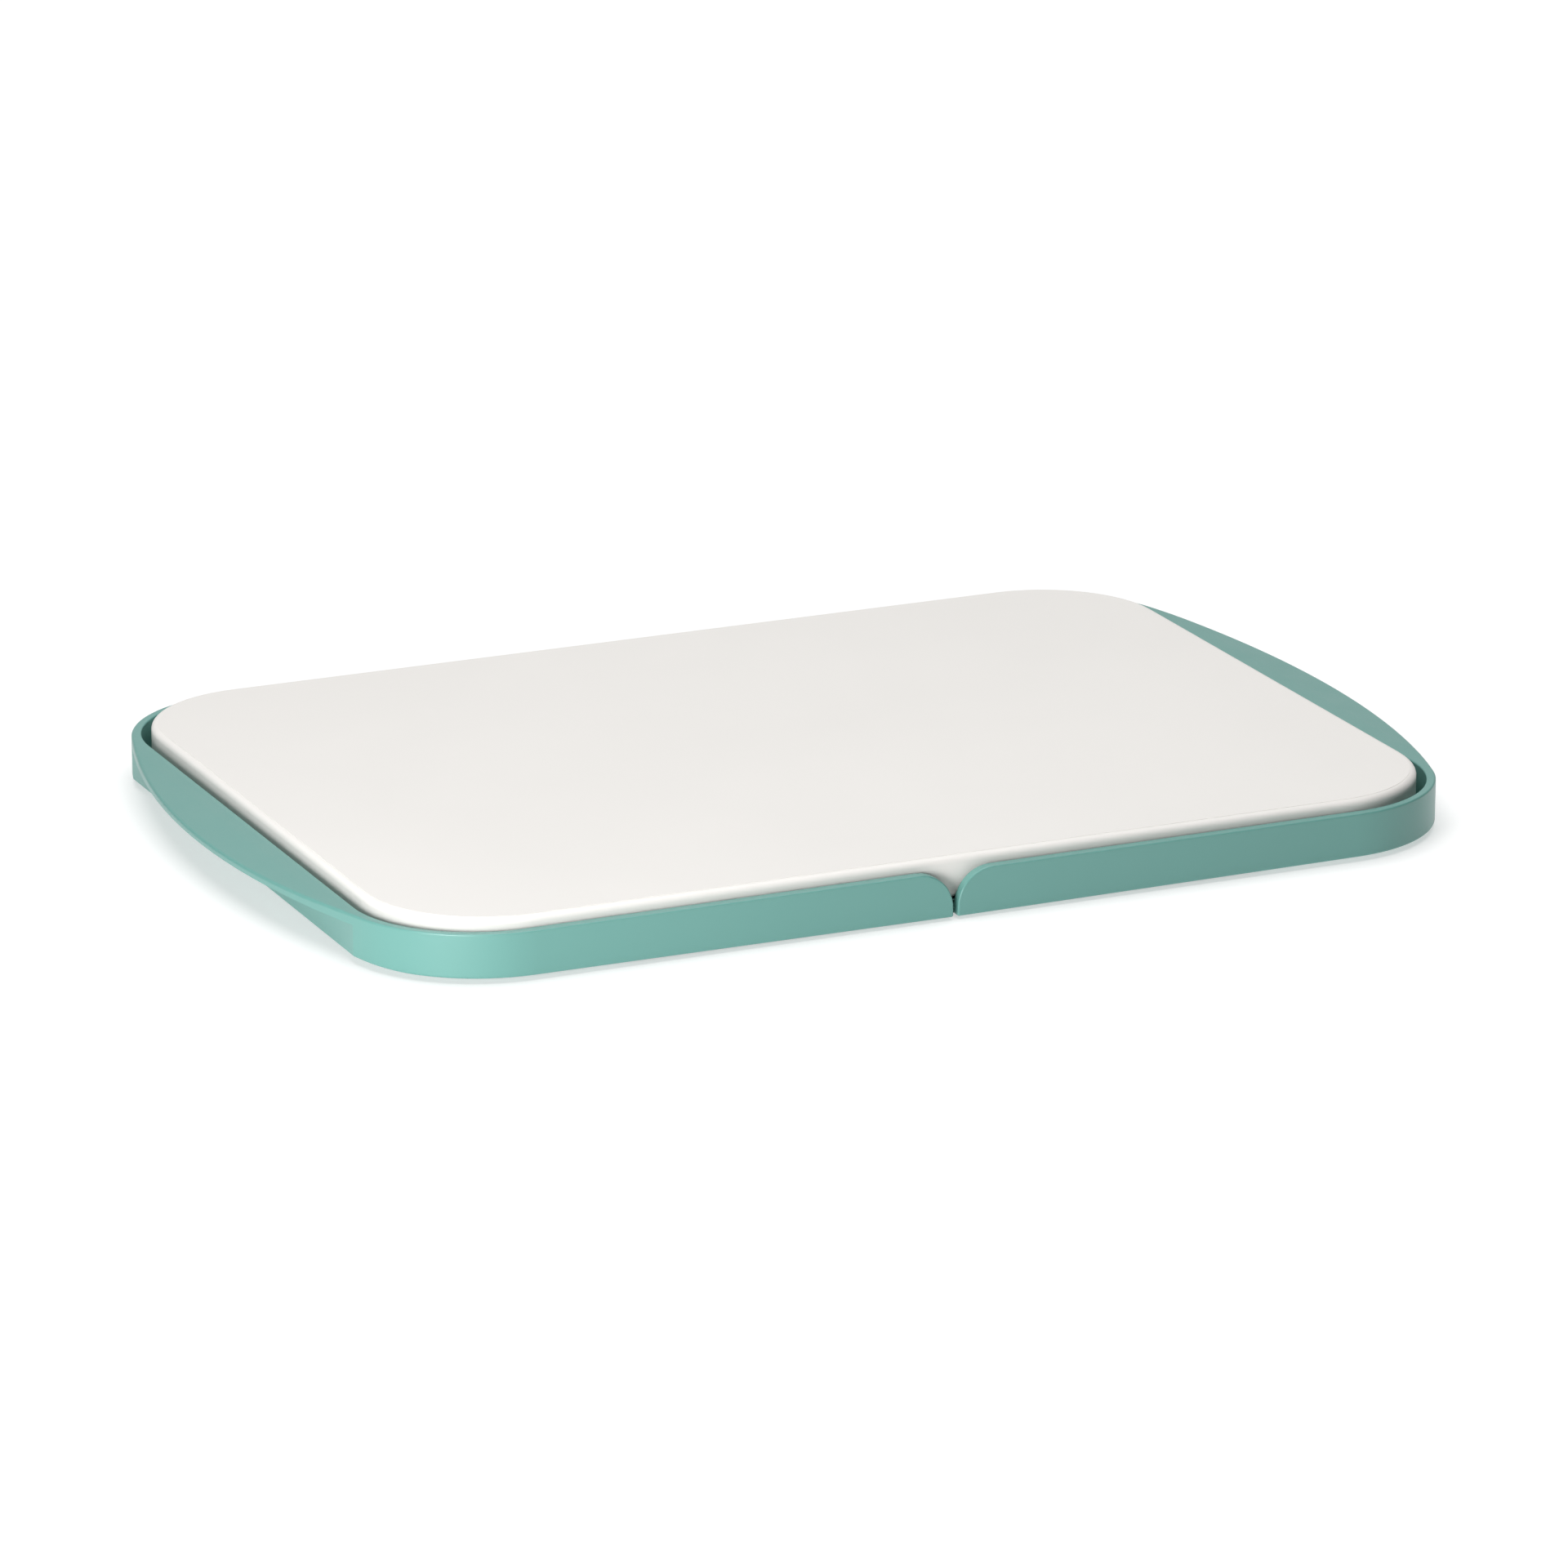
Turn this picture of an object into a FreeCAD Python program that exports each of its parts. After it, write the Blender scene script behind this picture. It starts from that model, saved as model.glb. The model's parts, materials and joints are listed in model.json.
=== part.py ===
import FreeCAD, Part
import math
import os

# Serving and chopping board in a tray that splits in two.
#
# A white board lies on two rails that stand on a central base plate.
# Around it are two mirror-image tray halves with handle flanges at their
# outer ends. Each half runs on the rails and pulls outward along X.
#
# Origin: middle of the footprint on the table, +X along the long side,
# +Y to the rear, +Z up. All sizes in millimetres.

os.makedirs("parts", exist_ok=True)

# ---- driving dimensions ----------------------------------------------------

# board
BOARD_HALF_X = 190.0
BOARD_HALF_Y = 137.45
BOARD_THICKNESS = 14.0
BOARD_CORNER_R = 42.5
BOARD_BOTTOM_Z = 6.1
BOARD_TOP_EDGE_R = 2.1
BOARD_FACE_INSET = 2.2
BOARD_FACE_STEP = 0.1
BOARD_BOTTOM_EDGE_R = 1.2

# tray outline in plan
TRAY_HALF_Y = 142.25
TRAY_CORNER_R = 48.4
HANDLE_APEX_X = 211.6
HANDLE_ARC_R = 364.0
INNER_HALF_X = 193.15
INNER_HALF_Y = 138.6
INNER_CORNER_R = 42.2

# tray heights
WALL_BOTTOM_Z = 0.8
BOTTOM_RISE_PER_MM = 0.0045
FOOT_CURVE_X = 183.0
FOOT_CURVE_R = 120.0
RIM_Z = 16.65
FLANGE_UNDERSIDE_Z = 13.2
FLANGE_SLOPE_START_X = 195.6
FLANGE_SLOPE_DEG = 6.2
FLANGE_BEND_R = 40.0
RECESS_WALL_X = 196.5

# tray edges
RIM_EDGE_R = 0.55
HANDLE_EDGE_R = 1.3
EDGE_GROWS_FROM_X = 190.0
EDGE_GROWS_TO_X = 205.0
FOOT_EDGE_R = 0.8

# split between the halves
SPLIT_HALF_GAP = 0.84
SPLIT_CORNER_R = 12.6

# tray floor: a low well outside the base plate, a raised tongue over it
WELL_FLOOR_Z = 1.9
WELL_THICKNESS = 1.8
WELL_FILLET_R = 1.4
WELL_CORNER_R = 2.5
TONGUE_Z = 2.7
TONGUE_THICKNESS = 1.6
RISER_X = 115.8
RISER_THICKNESS = 2.2

# stiffening ribs under the well
RIB_Z = 1.35
RIB_WIDTH = 1.2
RIB_XS = (134.0, 153.0, 172.0)
RIB_YS = (-100.0, -60.0, -20.0, 20.0, 60.0, 100.0)

# travel of each half
TRAVEL = 75.0

# base plate
BASE_HALF_X = 115.0
BASE_HALF_Y = 138.2
BASE_Z = 0.8
BASE_THICKNESS = 1.6
BASE_CORNER_R = 6.0
BASE_EDGE_R = 0.5

# shallow panel in the underside of the base plate
PANEL_HALF_X = 58.0
PANEL_HALF_Y = 34.0
PANEL_CORNER_R = 8.0
PANEL_DEPTH = 0.4

# rails
RAIL_Y = 130.8
RAIL_WEB_WIDTH = 4.4
RAIL_HEAD_WIDTH = 14.8
RAIL_HEAD_Z = 4.6
RAIL_HEAD_THICKNESS = 0.9
RAIL_EDGE_R = 0.3
RAIL_SLOT_CLEARANCE = 0.4

# locating pins on the rails and their sockets in the board
PIN_X = 80.0
PIN_R = 3.5
PIN_TOP_Z = 10.4
PIN_TIP_CHAMFER = 0.8
SOCKET_R = 3.9
SOCKET_DEPTH = 5.0

# pads between the rails and the board
PAD_X = 40.0
PAD_LENGTH = 44.0
PAD_WIDTH = 9.0
PAD_THICKNESS = 0.5
PAD_CORNER_R = 2.0

# screws that hold the rails
SCREW_XS = (-105.0, -35.0, 35.0, 105.0)
SCREW_R = 1.25
SCREW_HEAD_R = 2.6
SCREW_HEAD_DEPTH = 1.2
SCREW_TOP_Z = 4.9
SCREW_SOCKET_R = 1.2
SCREW_SOCKET_DEPTH = 0.7
SCREW_FIT = 0.05

# feet
FOOT_X = 98.0
FOOT_Y = 112.0
FOOT_R = 9.0
FOOT_SEAT_DEPTH = 0.8
FOOT_SOLE_R = 7.6

# travel stops
STOP_X = 105.0
STOP_SHANK_R = 3.0
STOP_FLANGE_R = 6.0
STOP_FLANGE_THICKNESS = 0.7
STOP_CAP_R = 5.5
STOP_CAP_THICKNESS = 1.15
STOP_CAP_EDGE_R = 0.4
STOP_BORE_R = 1.5
STOP_BORE_DEPTH = 2.4
STOP_STUB_LENGTH = 2.2
STOP_SLOT_CLEARANCE = 0.35
STOP_FIT = 0.05
STOP_DRIVER_WIDTH = 1.0
STOP_DRIVER_DEPTH = 0.6

# brake strips under the tongues
BRAKE_X = 88.0
BRAKE_WIDTH = 6.0
BRAKE_LENGTH = 100.0
BRAKE_SEAT_DEPTH = 0.8
BRAKE_PROUD = 0.2

# ---- derived dimensions ----------------------------------------------------

BOARD_TOP_Z = BOARD_BOTTOM_Z + BOARD_THICKNESS
BASE_TOP_Z = BASE_Z + BASE_THICKNESS
RAIL_TOP_Z = RAIL_HEAD_Z + RAIL_HEAD_THICKNESS
WELL_TOP_Z = WELL_FLOOR_Z + WELL_THICKNESS
TONGUE_TOP_Z = TONGUE_Z + TONGUE_THICKNESS
RISER_END_X = RISER_X + RISER_THICKNESS
BIG = 600.0
SIDES = {"front": -1, "rear": 1}
ENDS = {"left": -1, "right": 1}


# ---- small helpers ---------------------------------------------------------

def vec(x, y, z=0.0):
    return FreeCAD.Vector(x, y, z)


def box(x0, x1, y0, y1, z0, z1):
    return Part.makeBox(x1 - x0, y1 - y0, z1 - z0, vec(x0, y0, z0))


def post(x, y, z0, z1, radius):
    return Part.makeCylinder(radius, z1 - z0, vec(x, y, z0))


def prism(edges, z0, z1):
    face = Part.Face(Part.Wire(edges))
    face.translate(vec(0, 0, z0))
    return face.extrude(vec(0, 0, z1 - z0))


def middle_of(edge):
    return edge.valueAt((edge.FirstParameter + edge.LastParameter) / 2)


def edges_at(shape, z):
    return [e for e in shape.Edges if abs(middle_of(e).z - z) < 1e-6]


def round_upright(shape, radius):
    upright = [e for e in shape.Edges if abs(e.tangentAt(e.FirstParameter).z) > 0.9]
    return shape.makeFillet(radius, upright)


def rounded_plate(half_x, half_y, corner_r, z0, z1):
    """Upright-sided plate with rounded corners, centred on the origin."""
    return round_upright(box(-half_x, half_x, -half_y, half_y, z0, z1), corner_r)


def slot(x0, x1, y, half_width, z0, z1):
    """Straight slot with round ends, running along X."""
    body = box(x0, x1, y - half_width, y + half_width, z0, z1)
    ends = [post(x, y, z0, z1, half_width) for x in (x0, x1)]
    return body.multiFuse(ends).removeSplitter()


def mirrored(shape):
    return shape.mirror(vec(0, 0, 0), vec(1, 0, 0))


def save(shape, node):
    """One valid solid, or a group of them, to its own STEP file."""
    if not shape.isValid():
        raise ValueError(node + " is not valid")
    shape.exportStep("parts/" + node + ".step")
    box_ = shape.BoundBox
    print(node, len(shape.Solids), round(shape.Volume, 1),
          [round(v, 2) for v in (box_.XMin, box_.XMax, box_.YMin,
                                 box_.YMax, box_.ZMin, box_.ZMax)])


# ---- tray halves -----------------------------------------------------------

def outer_outline():
    """Right half of the tray's plan: straight side, corner arc, bowed end.

    The end is one arc about a point on the X axis, tangent to both corners.
    """
    corner_y = TRAY_HALF_Y - TRAY_CORNER_R
    arc_x = HANDLE_APEX_X - HANDLE_ARC_R
    between = HANDLE_ARC_R - TRAY_CORNER_R
    corner_x = arc_x + math.sqrt(between ** 2 - corner_y ** 2)
    touch_angle = math.atan2(corner_y, corner_x - arc_x)
    half_turn = (math.pi / 2 + touch_angle) / 2

    def corner_point(angle, side):
        return vec(corner_x + TRAY_CORNER_R * math.cos(angle),
                   side * (corner_y + TRAY_CORNER_R * math.sin(angle)))

    start = vec(SPLIT_HALF_GAP, -TRAY_HALF_Y)
    front = vec(corner_x, -TRAY_HALF_Y)
    front_touch = corner_point(touch_angle, -1)
    rear_touch = corner_point(touch_angle, 1)
    rear = vec(corner_x, TRAY_HALF_Y)
    end = vec(SPLIT_HALF_GAP, TRAY_HALF_Y)
    return [
        Part.makeLine(start, front),
        Part.Arc(front, corner_point(half_turn, -1), front_touch).toShape(),
        Part.Arc(front_touch, vec(HANDLE_APEX_X, 0), rear_touch).toShape(),
        Part.Arc(rear_touch, corner_point(half_turn, 1), rear).toShape(),
        Part.makeLine(rear, end),
        Part.makeLine(end, start),
    ]


def side_profile():
    """Side view of the right half, as edges in the plane y = 0.

    The foot rises gently and curves up at the end, the finger recess is open
    below the handle, the handle's top falls away outward, and the top corner
    at the split is a large round.
    """
    def point(x, z):
        return vec(x, 0, z)

    far = HANDLE_APEX_X + 10
    slope = math.radians(FLANGE_SLOPE_DEG)
    bend_x = FLANGE_SLOPE_START_X + FLANGE_BEND_R * math.sin(slope)
    bend_z = RIM_Z - FLANGE_BEND_R * (1 - math.cos(slope))
    mid_x = FLANGE_SLOPE_START_X + FLANGE_BEND_R * math.sin(slope / 2)
    mid_z = RIM_Z - FLANGE_BEND_R * (1 - math.cos(slope / 2))
    far_z = bend_z - (far - bend_x) * math.tan(slope)
    corner_part = SPLIT_CORNER_R * (1 - math.sqrt(0.5))
    split_foot = point(SPLIT_HALF_GAP, foot_height(SPLIT_HALF_GAP))
    curve_foot = point(FOOT_CURVE_X, foot_height(FOOT_CURVE_X))
    curve_mid_x = (FOOT_CURVE_X + RECESS_WALL_X) / 2
    curve_mid = point(curve_mid_x, foot_height(curve_mid_x))
    recess_foot = point(RECESS_WALL_X, foot_height(RECESS_WALL_X))
    recess_top = point(RECESS_WALL_X, FLANGE_UNDERSIDE_Z)
    far_low = point(far, FLANGE_UNDERSIDE_Z)
    far_high = point(far, far_z)
    bend_low = point(bend_x, bend_z)
    bend_high = point(FLANGE_SLOPE_START_X, RIM_Z)
    round_high = point(SPLIT_HALF_GAP + SPLIT_CORNER_R, RIM_Z)
    round_mid = point(SPLIT_HALF_GAP + corner_part, RIM_Z - corner_part)
    round_low = point(SPLIT_HALF_GAP, RIM_Z - SPLIT_CORNER_R)
    return [
        Part.makeLine(split_foot, curve_foot),
        Part.Arc(curve_foot, curve_mid, recess_foot).toShape(),
        Part.makeLine(recess_foot, recess_top),
        Part.makeLine(recess_top, far_low),
        Part.makeLine(far_low, far_high),
        Part.makeLine(far_high, bend_low),
        Part.Arc(bend_low, point(mid_x, mid_z), bend_high).toShape(),
        Part.makeLine(bend_high, round_high),
        Part.Arc(round_high, round_mid, round_low).toShape(),
        Part.makeLine(round_low, split_foot),
    ]


def foot_height(x):
    """Lower edge of the wall: a gently rising line, then an arc tangent to it."""
    if x <= FOOT_CURVE_X:
        return WALL_BOTTOM_Z + BOTTOM_RISE_PER_MM * x
    tilt = math.atan(BOTTOM_RISE_PER_MM)
    centre_x = FOOT_CURVE_X - FOOT_CURVE_R * math.sin(tilt)
    centre_z = foot_height(FOOT_CURVE_X) + FOOT_CURVE_R * math.cos(tilt)
    return centre_z - math.sqrt(FOOT_CURVE_R ** 2 - (x - centre_x) ** 2)


def inner_space(z0, z1):
    return rounded_plate(INNER_HALF_X, INNER_HALF_Y, INNER_CORNER_R, z0, z1)


def is_rim_edge(edge):
    """Edges round the top, and down the round at the split, without the bend lines."""
    p = middle_of(edge)
    ends = [edge.valueAt(edge.FirstParameter), edge.valueAt(edge.LastParameter)]
    across = max(abs(q.x - p.x) for q in ends) < 1e-6 and abs(p.x - INNER_HALF_X) > 0.1
    on_round = p.x < SPLIT_HALF_GAP + SPLIT_CORNER_R and p.z > RIM_Z - SPLIT_CORNER_R
    on_top = p.z > FLANGE_UNDERSIDE_Z + 0.1 and p.x > SPLIT_CORNER_R
    return (on_top or on_round) and not across


def is_lower_edge(edge):
    """Outer lower edge of the wall, without the line where the foot curves up."""
    p = middle_of(edge)
    on_foot = abs(p.z - foot_height(p.x)) < 1e-3 and p.x > SPLIT_HALF_GAP + 1
    return on_foot and abs(p.x - FOOT_CURVE_X) > 0.1


def side_block():
    """The side view drawn out through the whole width."""
    side = Part.Face(Part.Wire(side_profile()))
    side.translate(vec(0, -TRAY_HALF_Y - 1, 0))
    return side.extrude(vec(0, 2 * TRAY_HALF_Y + 2, 0))


def outer_rim_radius(vertex):
    """Radius of the outer rim edge: small along the sides, larger on the handle."""
    grown = (vertex.Point.x - EDGE_GROWS_FROM_X) / (EDGE_GROWS_TO_X - EDGE_GROWS_FROM_X)
    return RIM_EDGE_R + (HANDLE_EDGE_R - RIM_EDGE_R) * min(1.0, max(0.0, grown))


def round_outer_rim(block):
    """Round the top edges; a document's fillet is the one that may change along them."""
    document = FreeCAD.newDocument("rim")
    base = document.addObject("Part::Feature", "block")
    base.Shape = block
    rounded = document.addObject("Part::Fillet", "rounded")
    rounded.Base = base
    rounded.Edges = [(number, outer_rim_radius(edge.firstVertex(True)),
                      outer_rim_radius(edge.lastVertex(True)))
                     for number, edge in enumerate(block.Edges, 1) if is_rim_edge(edge)]
    document.recompute()
    return rounded.Shape


def tray_wall():
    wall = side_block().common(prism(outer_outline(), 0, BIG))
    wall = wall.makeFillet(FOOT_EDGE_R, [e for e in wall.Edges if is_lower_edge(e)])
    wall = round_outer_rim(wall)
    hollow = inner_space(-1, RIM_Z + 1)
    wall = wall.cut(hollow)
    inner_rim = [e for e in wall.Edges if is_rim_edge(e)
                 and hollow.distToShape(Part.Vertex(middle_of(e)))[0] < 1e-6]
    return wall.makeFillet(RIM_EDGE_R, inner_rim)


def well():
    """Low floor at the end of the half, rounded up into the wall and the riser."""
    top = WELL_TOP_Z + WELL_FILLET_R
    past_riser = box(RISER_END_X, BIG, -BIG, BIG, -1, BIG)
    hollow = inner_space(WELL_TOP_Z, RIM_Z).common(past_riser)
    riser_corners = [e for e in hollow.Edges
                     if abs(e.tangentAt(e.FirstParameter).z) > 0.9
                     and abs(middle_of(e).x - RISER_END_X) < 1e-6]
    hollow = hollow.makeFillet(WELL_CORNER_R, riser_corners)
    hollow = hollow.makeFillet(WELL_FILLET_R, edges_at(hollow, WELL_TOP_Z))
    block = inner_space(WELL_FLOOR_Z, top).common(box(RISER_X, BIG, -BIG, BIG, -1, BIG))
    above_riser = box(0, RISER_END_X + WELL_CORNER_R, -BIG, BIG, TONGUE_TOP_Z, BIG)
    return block.cut(hollow).cut(above_riser)


def well_ribs():
    """Low grid of ribs under the well."""
    across = [box(x - RIB_WIDTH / 2, x + RIB_WIDTH / 2, -BIG, BIG, RIB_Z, WELL_FLOOR_Z)
              for x in RIB_XS]
    along = [box(RISER_X, BIG, y - RIB_WIDTH / 2, y + RIB_WIDTH / 2, RIB_Z, WELL_FLOOR_Z)
             for y in RIB_YS]
    grid = across[0].multiFuse(across[1:] + along)
    return grid.common(inner_space(RIB_Z, WELL_FLOOR_Z))


def tray_floor():
    """Well, ribs and raised tongue, with the slots for the rails and the stop."""
    tongue = box(SPLIT_HALF_GAP, RISER_END_X, -INNER_HALF_Y, INNER_HALF_Y,
                 TONGUE_Z, TONGUE_TOP_Z)
    floor = tongue.multiFuse([well(), well_ribs()])
    half_slot = RAIL_WEB_WIDTH / 2 + RAIL_SLOT_CLEARANCE
    for side in SIDES.values():
        y = side * RAIL_Y
        floor = floor.cut(box(-1, RISER_X, y - half_slot, y + half_slot, -1, BIG))
    stop_half_width = STOP_SHANK_R + STOP_SLOT_CLEARANCE
    floor = floor.cut(slot(STOP_X - TRAVEL, STOP_X, 0, stop_half_width, -1, BIG))
    return floor.common(side_block())


def right_tray():
    return tray_wall().fuse(tray_floor()).removeSplitter()


# ---- board -----------------------------------------------------------------

def board():
    """Slab with round edges, and a face that stands a step above its border."""
    border_z = BOARD_TOP_Z - BOARD_FACE_STEP
    slab = rounded_plate(BOARD_HALF_X, BOARD_HALF_Y, BOARD_CORNER_R,
                         BOARD_BOTTOM_Z, border_z)
    slab = slab.makeFillet(BOARD_TOP_EDGE_R, edges_at(slab, border_z))
    slab = slab.makeFillet(BOARD_BOTTOM_EDGE_R, edges_at(slab, BOARD_BOTTOM_Z))
    face = rounded_plate(BOARD_HALF_X - BOARD_FACE_INSET, BOARD_HALF_Y - BOARD_FACE_INSET,
                         BOARD_CORNER_R - BOARD_FACE_INSET, border_z, BOARD_TOP_Z)
    slab = slab.fuse(face)
    for x in (-PIN_X, PIN_X):
        for side in SIDES.values():
            slab = slab.cut(post(x, side * RAIL_Y, BOARD_BOTTOM_Z - 1,
                                 BOARD_BOTTOM_Z + SOCKET_DEPTH, SOCKET_R))
    return slab


# ---- base ------------------------------------------------------------------

def screw_shape(x, y, grow=0.0):
    """Countersunk screw from below; grow widens it into its own hole."""
    head = Part.makeCone(SCREW_HEAD_R + grow, SCREW_R + grow, SCREW_HEAD_DEPTH,
                         vec(x, y, BASE_Z))
    shank = post(x, y, BASE_Z, SCREW_TOP_Z + grow, SCREW_R + grow)
    return head.fuse(shank).removeSplitter()


def rail_screw(x, y):
    """Countersunk screw with a six-sided socket in its head."""
    corners = [vec(x + SCREW_SOCKET_R * math.cos(turn), y + SCREW_SOCKET_R * math.sin(turn), BASE_Z)
               for turn in (math.radians(60 * step) for step in range(7))]
    socket = Part.Face(Part.makePolygon(corners)).extrude(vec(0, 0, SCREW_SOCKET_DEPTH))
    return screw_shape(x, y).cut(socket)


def screw_places():
    return [(x, side * RAIL_Y) for side in SIDES.values() for x in SCREW_XS]


def base_plate():
    plate = rounded_plate(BASE_HALF_X, BASE_HALF_Y, BASE_CORNER_R, BASE_Z, BASE_TOP_Z)
    plate = plate.makeFillet(BASE_EDGE_R, edges_at(plate, BASE_Z) + edges_at(plate, BASE_TOP_Z))
    plate = plate.cut(rounded_plate(PANEL_HALF_X, PANEL_HALF_Y, PANEL_CORNER_R,
                                    0, BASE_Z + PANEL_DEPTH))
    for x, y in screw_places():
        plate = plate.cut(screw_shape(x, y, SCREW_FIT))
    for end in ENDS.values():
        stop_x = end * STOP_X
        plate = plate.cut(post(stop_x, 0, 0, BIG, STOP_SHANK_R + STOP_FIT))
        plate = plate.cut(post(stop_x, 0, 0, BASE_Z + STOP_FLANGE_THICKNESS,
                               STOP_FLANGE_R + STOP_FIT))
        brake_x = end * BRAKE_X
        plate = plate.cut(box(brake_x - BRAKE_WIDTH / 2, brake_x + BRAKE_WIDTH / 2,
                              -BRAKE_LENGTH / 2, BRAKE_LENGTH / 2,
                              BASE_TOP_Z - BRAKE_SEAT_DEPTH, BIG))
        for side in SIDES.values():
            plate = plate.cut(post(end * FOOT_X, side * FOOT_Y, 0,
                                   BASE_Z + FOOT_SEAT_DEPTH, FOOT_R))
    return plate


def rail(side):
    """T-section rail with two locating pins for the board."""
    y = side * RAIL_Y
    web = box(-BASE_HALF_X, BASE_HALF_X, y - RAIL_WEB_WIDTH / 2, y + RAIL_WEB_WIDTH / 2,
              BASE_TOP_Z, RAIL_TOP_Z)
    head = box(-BASE_HALF_X, BASE_HALF_X, y - RAIL_HEAD_WIDTH / 2, y + RAIL_HEAD_WIDTH / 2,
               RAIL_HEAD_Z, RAIL_TOP_Z)
    head = head.makeFillet(RAIL_EDGE_R, edges_at(head, RAIL_TOP_Z))
    pins = []
    for x in (-PIN_X, PIN_X):
        shank_top = PIN_TOP_Z - PIN_TIP_CHAMFER
        pins.append(post(x, y, RAIL_HEAD_Z, shank_top, PIN_R))
        pins.append(Part.makeCone(PIN_R, PIN_R - PIN_TIP_CHAMFER, PIN_TIP_CHAMFER,
                                  vec(x, y, shank_top)))
    bar = web.multiFuse([head] + pins).removeSplitter()
    for x in SCREW_XS:
        bar = bar.cut(post(x, y, 0, SCREW_TOP_Z + SCREW_FIT, SCREW_R + SCREW_FIT))
    return bar


def foot(end, side):
    """Rubber foot: a disc seated in the base plate, with a bevelled sole."""
    x = end * FOOT_X
    y = side * FOOT_Y
    seat = post(x, y, BASE_Z, BASE_Z + FOOT_SEAT_DEPTH, FOOT_R)
    sole = Part.makeCone(FOOT_SOLE_R, FOOT_R, BASE_Z, vec(x, y, 0))
    return seat.fuse(sole).removeSplitter()


def pad(end, side):
    """Soft pad on top of a rail, under the board."""
    x = end * PAD_X
    y = side * RAIL_Y
    strip = box(x - PAD_LENGTH / 2, x + PAD_LENGTH / 2, y - PAD_WIDTH / 2, y + PAD_WIDTH / 2,
                RAIL_TOP_Z, RAIL_TOP_Z + PAD_THICKNESS)
    return round_upright(strip, PAD_CORNER_R)


def brake_strip(end):
    """Soft strip let into the base plate, close under the tongue."""
    x = end * BRAKE_X
    return box(x - BRAKE_WIDTH / 2, x + BRAKE_WIDTH / 2, -BRAKE_LENGTH / 2, BRAKE_LENGTH / 2,
               BASE_TOP_Z - BRAKE_SEAT_DEPTH, BASE_TOP_Z + BRAKE_PROUD)


def stop_post(end):
    """Flanged post through the base plate that the tongue's slot runs along."""
    x = end * STOP_X
    flange = post(x, 0, BASE_Z, BASE_Z + STOP_FLANGE_THICKNESS, STOP_FLANGE_R)
    shank = post(x, 0, BASE_Z, RAIL_HEAD_Z, STOP_SHANK_R)
    bore = post(x, 0, RAIL_HEAD_Z - STOP_BORE_DEPTH, BIG, STOP_BORE_R)
    return flange.fuse(shank).cut(bore).removeSplitter()


def stop_cap(end):
    """Wide-headed screw in the post that keeps the tongue down."""
    x = end * STOP_X
    top = RAIL_HEAD_Z + STOP_CAP_THICKNESS
    head = post(x, 0, RAIL_HEAD_Z, top, STOP_CAP_R)
    head = head.makeFillet(STOP_CAP_EDGE_R, edges_at(head, top))
    stub = post(x, 0, RAIL_HEAD_Z - STOP_STUB_LENGTH, RAIL_HEAD_Z, STOP_BORE_R - STOP_FIT)
    driver = box(x - STOP_CAP_R, x + STOP_CAP_R, -STOP_DRIVER_WIDTH / 2,
                 STOP_DRIVER_WIDTH / 2, top - STOP_DRIVER_DEPTH, top + 1)
    return head.fuse(stub).cut(driver).removeSplitter()


# ---- write every piece -----------------------------------------------------

half = right_tray()
save(half, "right_tray")
save(mirrored(half), "left_tray")
save(board(), "board")
save(base_plate(), "base_plate")
save(Part.makeCompound([rail_screw(x, y) for x, y in screw_places()]), "rail_screws")
for side_name, side in SIDES.items():
    save(rail(side), side_name + "_rail")
    for end_name, end in ENDS.items():
        save(foot(end, side), "foot_" + side_name + "_" + end_name)
        save(pad(end, side), "pad_" + side_name + "_" + end_name)
for end_name, end in ENDS.items():
    save(stop_post(end), end_name + "_stop_post")
    save(stop_cap(end), end_name + "_stop_cap")
    save(brake_strip(end), end_name + "_brake_strip")
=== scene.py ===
import json
import math

import bmesh
import bpy
from mathutils import Matrix, Vector


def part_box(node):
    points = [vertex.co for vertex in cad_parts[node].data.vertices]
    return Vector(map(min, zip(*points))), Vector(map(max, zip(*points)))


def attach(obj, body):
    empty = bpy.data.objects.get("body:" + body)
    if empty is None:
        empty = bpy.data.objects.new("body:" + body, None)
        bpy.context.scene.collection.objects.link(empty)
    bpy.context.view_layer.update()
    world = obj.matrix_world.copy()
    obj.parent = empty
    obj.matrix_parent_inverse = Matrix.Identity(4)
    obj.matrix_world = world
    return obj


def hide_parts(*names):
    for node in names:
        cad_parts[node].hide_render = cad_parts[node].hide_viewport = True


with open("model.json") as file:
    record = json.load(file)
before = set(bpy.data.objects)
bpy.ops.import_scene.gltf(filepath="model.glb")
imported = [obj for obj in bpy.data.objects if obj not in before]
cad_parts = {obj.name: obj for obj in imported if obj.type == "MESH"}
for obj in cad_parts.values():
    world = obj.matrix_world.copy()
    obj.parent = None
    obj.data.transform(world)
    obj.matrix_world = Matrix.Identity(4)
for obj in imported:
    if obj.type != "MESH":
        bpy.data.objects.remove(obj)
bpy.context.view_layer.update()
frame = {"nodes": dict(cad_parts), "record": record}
nodes = frame["nodes"]

# ---- camera: a long lens, from the front left and a little above ------------

CAMERA_AZIMUTH = -24.18
CAMERA_ELEVATION = 17.56
CAMERA_DISTANCE = 2.848
CAMERA_LENS_MM = 191.1
AIM_RIGHT = 0.00196
AIM_UP = 0.00439
AIM_HEIGHT = 0.0008
SENSOR_WIDTH_MM = 36.0
CLIP_START = 0.05
CLIP_END = 60.0

# ---- light: a soft sky of two broad glows, an overhead panel, a low card ----

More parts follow.
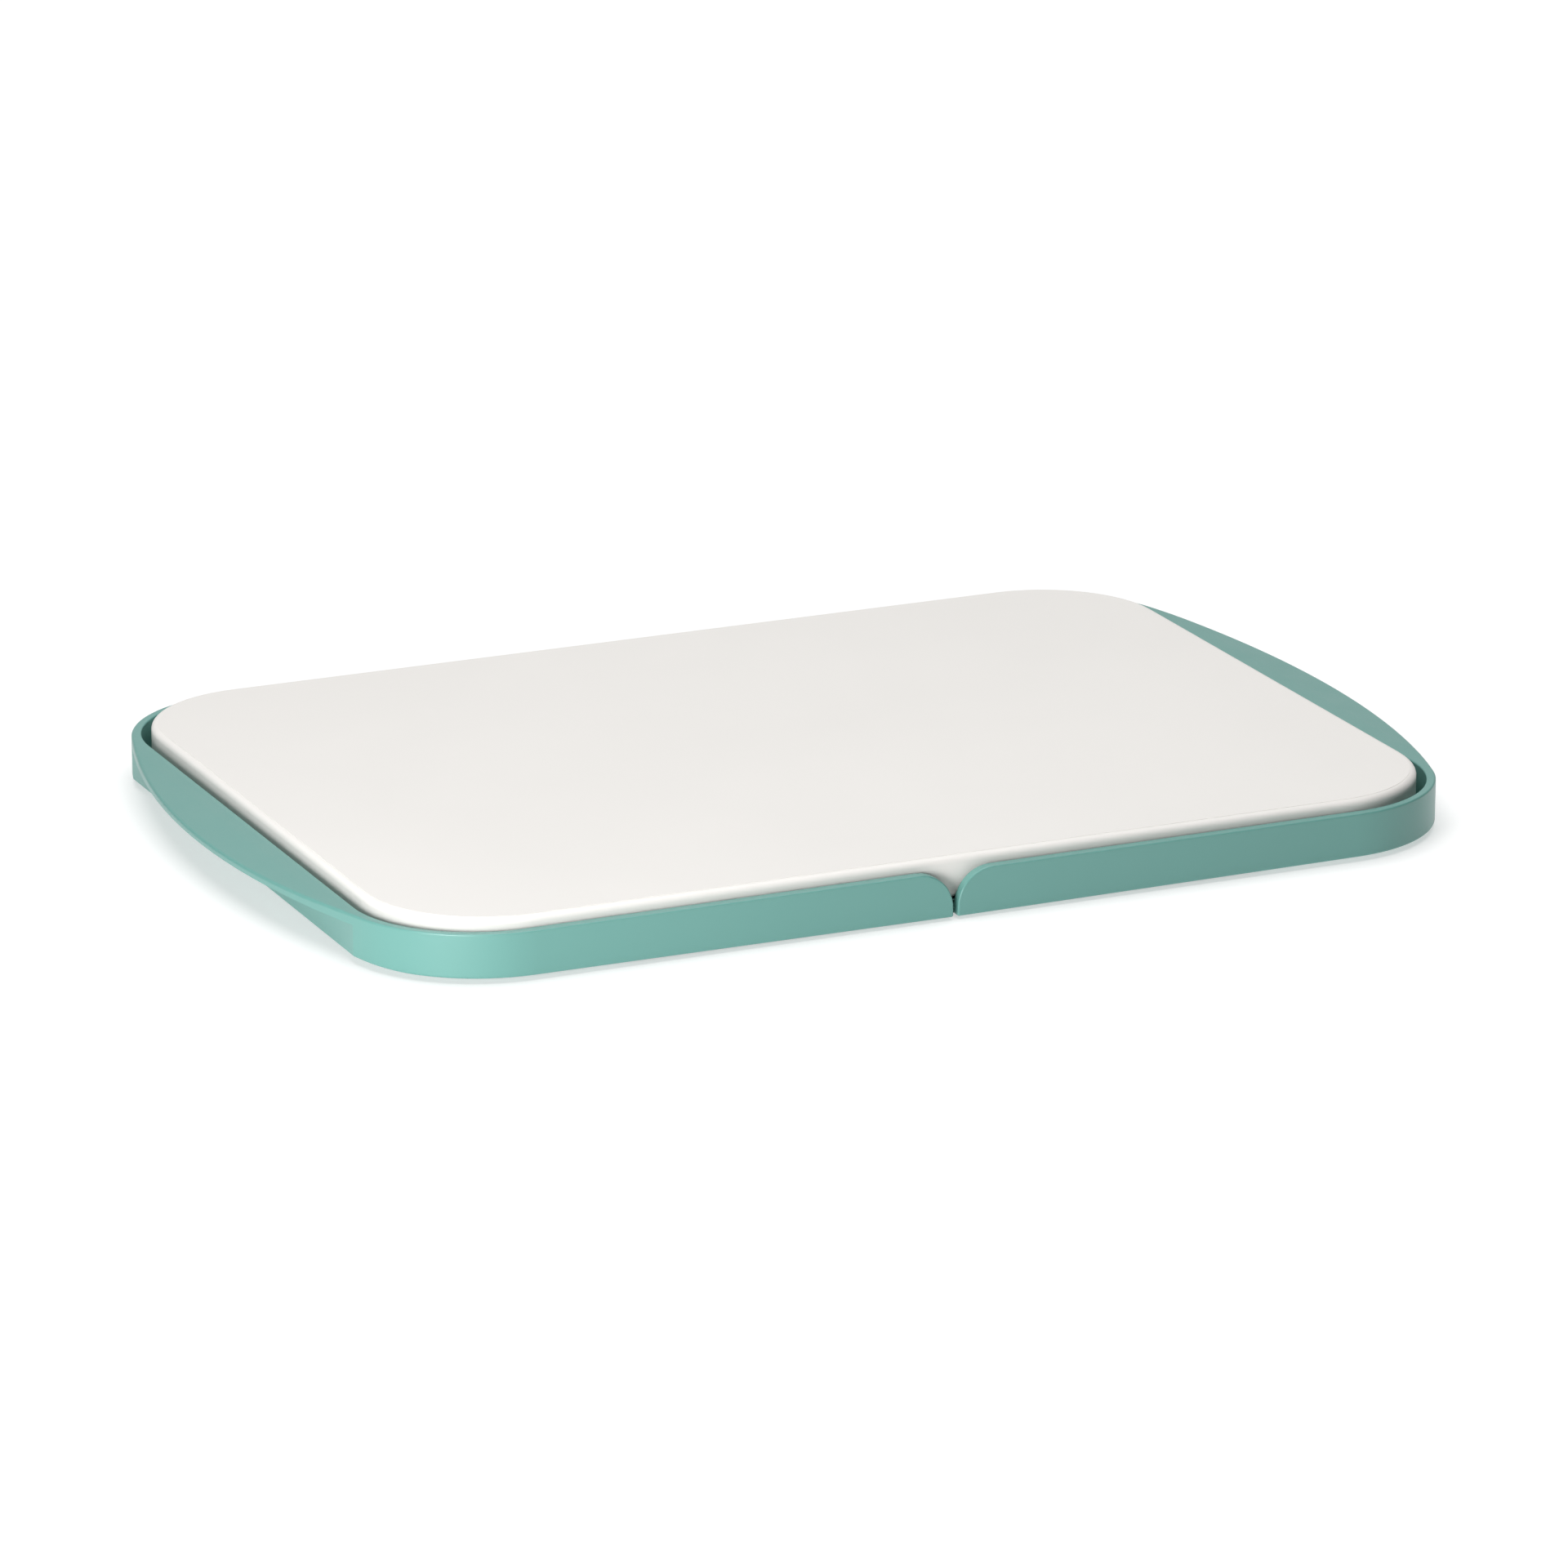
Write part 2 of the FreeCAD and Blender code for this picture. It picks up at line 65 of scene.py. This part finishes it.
SKY_GLOWS = (              # azimuth, elevation, strength
    (-110.0, 45.0, 0.28),
    (160.0, 20.0, 0.73),
)
SKY_GLOW_POWER = 4.0
PANEL_WATTS = 23.9
PANEL_SIZE = 1.5
PANEL_HEIGHT = 1.5
CARD_WATTS = 3.4
CARD_WIDTH = 0.30
CARD_HEIGHT = 0.20
CARD_AZIMUTH = -48.0
CARD_ELEVATION = 9.0
CARD_DISTANCE = 0.75

# ---- soft pieces: profiles are (inset, height) pairs, in metres --------------

CORNER_STEPS = 12          # steps round each quarter turn
SHARPEST_CORNER = 0.0002
SMOOTH_BELOW_DEG = 35.0

FOOT_MIDDLE = [(0.0084, 0.0)]
FOOT_GROOVES = (0.0070, 0.0052, 0.0034)
FOOT_RIM = [(0.0019, 0.0), (0.0015, 0.0001), (0.0012, 0.0003), (0.0002, 0.0008),
            (0.0, 0.0010), (0.0, 0.0016)]
FOOT_GROOVE_WIDTH = 0.0009
FOOT_GROOVE_DEPTH = 0.0004

PAD_CORNER = 0.0020
PAD_RIM = [(0.0, 0.0), (0.0, 0.00032), (0.00012, 0.00044), (0.0004, 0.0005)]
PAD_GROOVES = (0.0013, 0.0022, 0.0031)
PAD_TOP = 0.0005

BRAKE_CORNER = 0.0008
BRAKE_RIM = [(0.0, 0.0), (0.0, 0.0007), (0.0003, 0.0009), (0.0008, 0.0010)]
BRAKE_GROOVES = (0.0018,)
BRAKE_TOP = 0.0010

TOP_GROOVE_WIDTH = 0.0006
TOP_GROOVE_DEPTH = 0.00015

# ---- floor ------------------------------------------------------------------

FLOOR_HALF = 30.0
FLOOR_DROP = 0.0002
FLOOR_WHITE = 0.55
FLOOR_ROUGHNESS = 0.9
FLOOR_GLOW = 0.50          # under the object
FLOOR_FAR_GLOW = 0.85      # beyond the reach of the panel
FLOOR_NEAR = 0.4           # the glow grows between these distances from the origin
FLOOR_FAR = 1.6

# ---- materials: sizes in metres, shares and spreads as plain numbers ---------

CLOUD_SHARE = 0.009        # how far the clouding takes the colour up and down
WAVE_SHARE = 0.0003        # height of the surface's slow waves, as a share of their size
PATCHES_PER_CLOUD = 4.0
PATCH_GLOSS_SPREAD = 0.025
GRAIN_GLOSS_SPREAD = 0.03

BRUSH_LINES = 180.0        # scale of the brush lines' noise
BRUSH_STRETCH = 40.0       # how much finer the lines are across than along
BRUSH_DARK = 0.8
BRUSH_GLOSS_SPREAD = 0.08
BRUSH_DEPTH = 0.00001

RUBBER_GRAIN = 2500.0      # scales of the rubber's two noises
RUBBER_SPECK = 900.0
RUBBER_PALE = 1.5
RUBBER_GLOSS_SPREAD = 0.06
RUBBER_DEPTH = 0.00004


def direction(azimuth, elevation):
    """Unit vector; azimuth 0 is the front (-Y), positive towards +X."""
    a = math.radians(azimuth)
    e = math.radians(elevation)
    return Vector((math.sin(a) * math.cos(e), -math.cos(a) * math.cos(e), math.sin(e)))


def make_camera():
    back = direction(CAMERA_AZIMUTH, CAMERA_ELEVATION)
    turn = math.radians(CAMERA_AZIMUTH)
    right = Vector((math.cos(turn), math.sin(turn), 0.0))
    up = back.cross(right)
    data = bpy.data.cameras.new("camera")
    data.lens = CAMERA_LENS_MM
    data.sensor_width = SENSOR_WIDTH_MM
    data.clip_start = CLIP_START
    data.clip_end = CLIP_END
    camera = bpy.data.objects.new("camera", data)
    aim = Vector((0.0, 0.0, AIM_HEIGHT)) + right * AIM_RIGHT + up * AIM_UP
    axes = Matrix((right, up, back)).transposed().to_4x4()
    camera.matrix_world = Matrix.Translation(aim + back * CAMERA_DISTANCE) @ axes
    bpy.context.scene.collection.objects.link(camera)
    bpy.context.scene.camera = camera


# ---- node helpers -----------------------------------------------------------

def add_math(tree, operation, first, second):
    """A Math node; each input is a socket or a number."""
    node = tree.nodes.new("ShaderNodeMath")
    node.operation = operation
    for socket, value in zip(node.inputs, (first, second)):
        if isinstance(value, (int, float)):
            socket.default_value = value
        else:
            tree.links.new(value, socket)
    return node.outputs["Value"]


def add_noise(tree, place, scale, detail=2.0, rough=0.5):
    node = tree.nodes.new("ShaderNodeTexNoise")
    node.inputs["Scale"].default_value = scale
    node.inputs["Detail"].default_value = detail
    node.inputs["Roughness"].default_value = rough
    tree.links.new(place, node.inputs["Vector"])
    return node.outputs["Fac"]


def add_range(tree, value, low, high, start=0.3, end=0.7):
    """Maps start..end to low..high; noise mostly lies within 0.3..0.7."""
    node = tree.nodes.new("ShaderNodeMapRange")
    tree.links.new(value, node.inputs["Value"])
    node.inputs["From Min"].default_value = start
    node.inputs["From Max"].default_value = end
    node.inputs["To Min"].default_value = low
    node.inputs["To Max"].default_value = high
    return node.outputs["Result"]


def add_mix(tree, factor, first, second):
    node = tree.nodes.new("ShaderNodeMix")
    node.data_type = "RGBA"
    node.inputs["A"].default_value = (*first, 1.0)
    node.inputs["B"].default_value = (*second, 1.0)
    tree.links.new(factor, node.inputs["Factor"])
    return node.outputs["Result"]


def add_bump(tree, height, distance, normal=None):
    node = tree.nodes.new("ShaderNodeBump")
    node.inputs["Distance"].default_value = distance
    tree.links.new(height, node.inputs["Height"])
    if normal is not None:
        tree.links.new(normal, node.inputs["Normal"])
    return node.outputs["Normal"]


def new_material(name):
    material = bpy.data.materials.new(name)
    material.use_nodes = True
    tree = material.node_tree
    place = tree.nodes.new("ShaderNodeTexCoord").outputs["Object"]
    return material, tree, tree.nodes["Principled BSDF"], place


# ---- light ------------------------------------------------------------------

def make_sky():
    world = bpy.data.worlds.new("studio")
    world.use_nodes = True
    tree = world.node_tree
    place = tree.nodes.new("ShaderNodeTexCoord").outputs["Generated"]
    total = 0.0
    for azimuth, elevation, strength in SKY_GLOWS:
        facing = tree.nodes.new("ShaderNodeVectorMath")
        facing.operation = "DOT_PRODUCT"
        tree.links.new(place, facing.inputs[0])
        facing.inputs[1].default_value = direction(azimuth, elevation)
        lit = add_math(tree, "MAXIMUM", facing.outputs["Value"], 0.0)
        glow = add_math(tree, "POWER", lit, SKY_GLOW_POWER)
        total = add_math(tree, "ADD", total, add_math(tree, "MULTIPLY", glow, strength))
    background = tree.nodes["Background"]
    background.inputs["Color"].default_value = (1.0, 1.0, 1.0, 1.0)
    tree.links.new(total, background.inputs["Strength"])
    bpy.context.scene.world = world


def make_panel(name, place, width, height, watts):
    """Rectangular light that faces the middle of the object."""
    data = bpy.data.lights.new(name, "AREA")
    data.shape = "RECTANGLE"
    data.size = width
    data.size_y = height
    data.energy = watts
    lamp = bpy.data.objects.new(name, data)
    lamp.location = place
    lamp.rotation_mode = "QUATERNION"
    lamp.rotation_quaternion = place.to_track_quat("Z", "Y")
    lamp.visible_camera = False
    bpy.context.scene.collection.objects.link(lamp)


def make_light():
    bpy.context.scene.view_settings.view_transform = "Standard"
    make_sky()
    make_panel("overhead_panel", Vector((0.0, 0.0, PANEL_HEIGHT)),
               PANEL_SIZE, PANEL_SIZE, PANEL_WATTS)
    make_panel("low_card", direction(CARD_AZIMUTH, CARD_ELEVATION) * CARD_DISTANCE,
               CARD_WIDTH, CARD_HEIGHT, CARD_WATTS)


def make_floor():
    """Pale glowing table top, clear from below so that the underside can be seen."""
    mesh = bpy.data.meshes.new("floor")
    corners = [(x * FLOOR_HALF, y * FLOOR_HALF, 0.0)
               for x, y in ((-1, -1), (1, -1), (1, 1), (-1, 1))]
    mesh.from_pydata(corners, [], [(0, 1, 2, 3)])
    floor = bpy.data.objects.new("floor", mesh)
    floor.location.z = -FLOOR_DROP
    bpy.context.scene.collection.objects.link(floor)
    material, tree, shader, place = new_material("floor_white")
    shader.inputs["Base Color"].default_value = (FLOOR_WHITE, FLOOR_WHITE, FLOOR_WHITE, 1.0)
    shader.inputs["Roughness"].default_value = FLOOR_ROUGHNESS
    shader.inputs["Emission Color"].default_value = (1.0, 1.0, 1.0, 1.0)
    away = tree.nodes.new("ShaderNodeVectorMath")
    away.operation = "LENGTH"
    tree.links.new(place, away.inputs[0])
    glow = add_range(tree, away.outputs["Value"], FLOOR_GLOW, FLOOR_FAR_GLOW,
                     FLOOR_NEAR, FLOOR_FAR)
    tree.links.new(glow, shader.inputs["Emission Strength"])
    behind = tree.nodes.new("ShaderNodeNewGeometry").outputs["Backfacing"]
    clear = tree.nodes.new("ShaderNodeBsdfTransparent")
    one_sided = tree.nodes.new("ShaderNodeMixShader")
    tree.links.new(behind, one_sided.inputs[0])
    tree.links.new(shader.outputs[0], one_sided.inputs[1])
    tree.links.new(clear.outputs[0], one_sided.inputs[2])
    tree.links.new(one_sided.outputs[0], tree.nodes["Material Output"].inputs["Surface"])
    mesh.materials.append(material)


# ---- materials --------------------------------------------------------------

def satin_plastic(name, colour, roughness, cloud, pore, depth, ior=1.5):
    """Moulded plastic: very faint clouding of colour and gloss, and a fine grain.

    cloud is the size of the clouding, pore that of the grain and depth the
    height of the grain, in metres.
    """
    material, tree, shader, place = new_material(name)
    drift = add_noise(tree, place, 1.0 / cloud, 3.0)
    light = add_range(tree, drift, 0.0, 1.0)
    low = [c * (1.0 - CLOUD_SHARE) for c in colour]
    high = [c * (1.0 + CLOUD_SHARE) for c in colour]
    tree.links.new(add_mix(tree, light, low, high), shader.inputs["Base Color"])
    grain = add_noise(tree, place, 1.0 / pore, 2.0, 0.6)
    patch = add_noise(tree, place, PATCHES_PER_CLOUD / cloud, 2.0)
    patch_gloss = add_range(tree, patch, -PATCH_GLOSS_SPREAD, PATCH_GLOSS_SPREAD)
    grain_gloss = add_range(tree, grain, roughness - GRAIN_GLOSS_SPREAD,
                            roughness + GRAIN_GLOSS_SPREAD)
    gloss = add_math(tree, "ADD", patch_gloss, grain_gloss)
    tree.links.new(gloss, shader.inputs["Roughness"])
    wave = add_bump(tree, drift, cloud * WAVE_SHARE)
    tree.links.new(add_bump(tree, grain, depth, wave), shader.inputs["Normal"])
    shader.inputs["IOR"].default_value = ior
    return material


def brushed_steel(name, colour, roughness):
    """Steel with fine brush lines along X."""
    material, tree, shader, place = new_material(name)
    stretch = tree.nodes.new("ShaderNodeMapping")
    stretch.inputs["Scale"].default_value = (1.0, BRUSH_STRETCH, BRUSH_STRETCH)
    tree.links.new(place, stretch.inputs["Vector"])
    lines = add_noise(tree, stretch.outputs["Vector"], BRUSH_LINES, 4.0, 0.7)
    shade = add_range(tree, lines, 0.0, 1.0)
    low = [c * BRUSH_DARK for c in colour]
    tree.links.new(add_mix(tree, shade, low, colour), shader.inputs["Base Color"])
    gloss = add_range(tree, lines, roughness - BRUSH_GLOSS_SPREAD,
                      roughness + BRUSH_GLOSS_SPREAD)
    tree.links.new(gloss, shader.inputs["Roughness"])
    tree.links.new(add_bump(tree, lines, BRUSH_DEPTH), shader.inputs["Normal"])
    shader.inputs["Metallic"].default_value = 1.0
    return material


def rubber(name, colour, roughness):
    """Matt rubber: fine grain with a few paler specks."""
    material, tree, shader, place = new_material(name)
    grain = add_noise(tree, place, RUBBER_GRAIN, 3.0, 0.6)
    speck = add_range(tree, add_noise(tree, place, RUBBER_SPECK, 4.0, 0.7), 0.0, 1.0)
    pale = [c * RUBBER_PALE for c in colour]
    tree.links.new(add_mix(tree, speck, colour, pale), shader.inputs["Base Color"])
    gloss = add_range(tree, grain, roughness - RUBBER_GLOSS_SPREAD,
                      roughness + RUBBER_GLOSS_SPREAD)
    tree.links.new(gloss, shader.inputs["Roughness"])
    tree.links.new(add_bump(tree, grain, RUBBER_DEPTH), shader.inputs["Normal"])
    return material


def make_looks():
    """One material for each slot of the record."""
    return {
        "tray_mint": satin_plastic(
            "tray_mint", (0.128, 0.325, 0.290), roughness=0.36,
            cloud=0.07, pore=0.0004, depth=0.000004, ior=1.55),
        "board_white": satin_plastic(
            "board_white", (0.818, 0.797, 0.767), roughness=0.50,
            cloud=0.09, pore=0.0005, depth=0.000005),
        "base_teal": satin_plastic(
            "base_teal", (0.030, 0.090, 0.080), roughness=0.50,
            cloud=0.05, pore=0.0007, depth=0.00002),
        "screw_steel": brushed_steel("screw_steel", (0.60, 0.60, 0.60), 0.30),
        "foot_rubber": rubber("foot_rubber", (0.030, 0.035, 0.035), 0.70),
        "soft_grey": rubber("soft_grey", (0.20, 0.22, 0.21), 0.55),
    }


# ---- soft pieces that stand for plain CAD solids ----------------------------

def round_ring(half_x, half_y, corner, inset):
    """Points round a rectangle with round corners, drawn in by inset."""
    radius = max(corner - inset, SHARPEST_CORNER)
    across = half_x - inset - radius
    along = half_y - inset - radius
    points = []
    for quarter, (side_x, side_y) in enumerate(((1, 1), (-1, 1), (-1, -1), (1, -1))):
        for step in range(CORNER_STEPS + 1):
            turn = math.radians(90.0 * (quarter + step / CORNER_STEPS))
            points.append((side_x * across + radius * math.cos(turn),
                           side_y * along + radius * math.sin(turn)))
    return points


def groove(inset, width, level, bottom):
    """Profile points of a groove; a negative width runs it towards the edge."""
    return [(inset - width / 2, level), (inset - width / 4, bottom),
            (inset + width / 4, bottom), (inset + width / 2, level)]


def moulded_piece(node, corner, profile):
    """Soft piece in the place of a CAD node, from rings that follow profile.

    The profile runs from the underside out to the edge, up, and in again
    over the top, where its last ring is closed by a flat face.
    """
    low, high = (Vector(point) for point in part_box(node))
    middle = (low + high) / 2
    half = (high - low) / 2
    build = bmesh.new()
    rings = [[build.verts.new((middle.x + x, middle.y + y, low.z + height))
              for x, y in round_ring(half.x, half.y, corner, inset)]
             for inset, height in profile]
    for lower, upper in zip(rings, rings[1:]):
        for i in range(len(lower)):
            build.faces.new((lower[i - 1], lower[i], upper[i], upper[i - 1]))
    build.faces.new(list(reversed(rings[0])))
    build.faces.new(rings[-1])
    mesh = bpy.data.meshes.new(node + "_moulded")
    build.to_mesh(mesh)
    build.free()
    mesh.shade_smooth()
    mesh.set_sharp_from_angle(angle=math.radians(SMOOTH_BELOW_DEG))
    piece = bpy.data.objects.new(node + "_moulded", mesh)
    bpy.context.scene.collection.objects.link(piece)
    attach(piece, "root")
    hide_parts(node)
    return piece


def rubber_foot(node):
    """Round foot with ring grooves in its sole."""
    profile = list(FOOT_MIDDLE)
    for inset in FOOT_GROOVES:
        profile += groove(inset, -FOOT_GROOVE_WIDTH, 0.0, FOOT_GROOVE_DEPTH)
    low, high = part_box(node)
    return moulded_piece(node, (high[0] - low[0]) / 2, profile + FOOT_RIM)


def grooved_strip(node, corner, rim, insets, top):
    """Flat soft strip with round edges and grooves that run round its top."""
    profile = list(rim)
    for inset in insets:
        profile += groove(inset, TOP_GROOVE_WIDTH, top, top - TOP_GROOVE_DEPTH)
    return moulded_piece(node, corner, profile)


def shown_piece(node):
    """What shows for a CAD node: a moulded soft piece, or the node itself."""
    if node.startswith("foot_"):
        return rubber_foot(node)
    if node.startswith("pad_"):
        return grooved_strip(node, PAD_CORNER, PAD_RIM, PAD_GROOVES, PAD_TOP)
    if node.endswith("_brake_strip"):
        return grooved_strip(node, BRAKE_CORNER, BRAKE_RIM, BRAKE_GROOVES, BRAKE_TOP)
    return nodes[node]


# ---- the object -------------------------------------------------------------

make_camera()
make_light()
make_floor()
looks = make_looks()
for row in frame["record"]["subparts"]:
    piece = shown_piece(row["node"])
    piece.data.materials.clear()
    piece.data.materials.append(looks[row["material_slot"]])
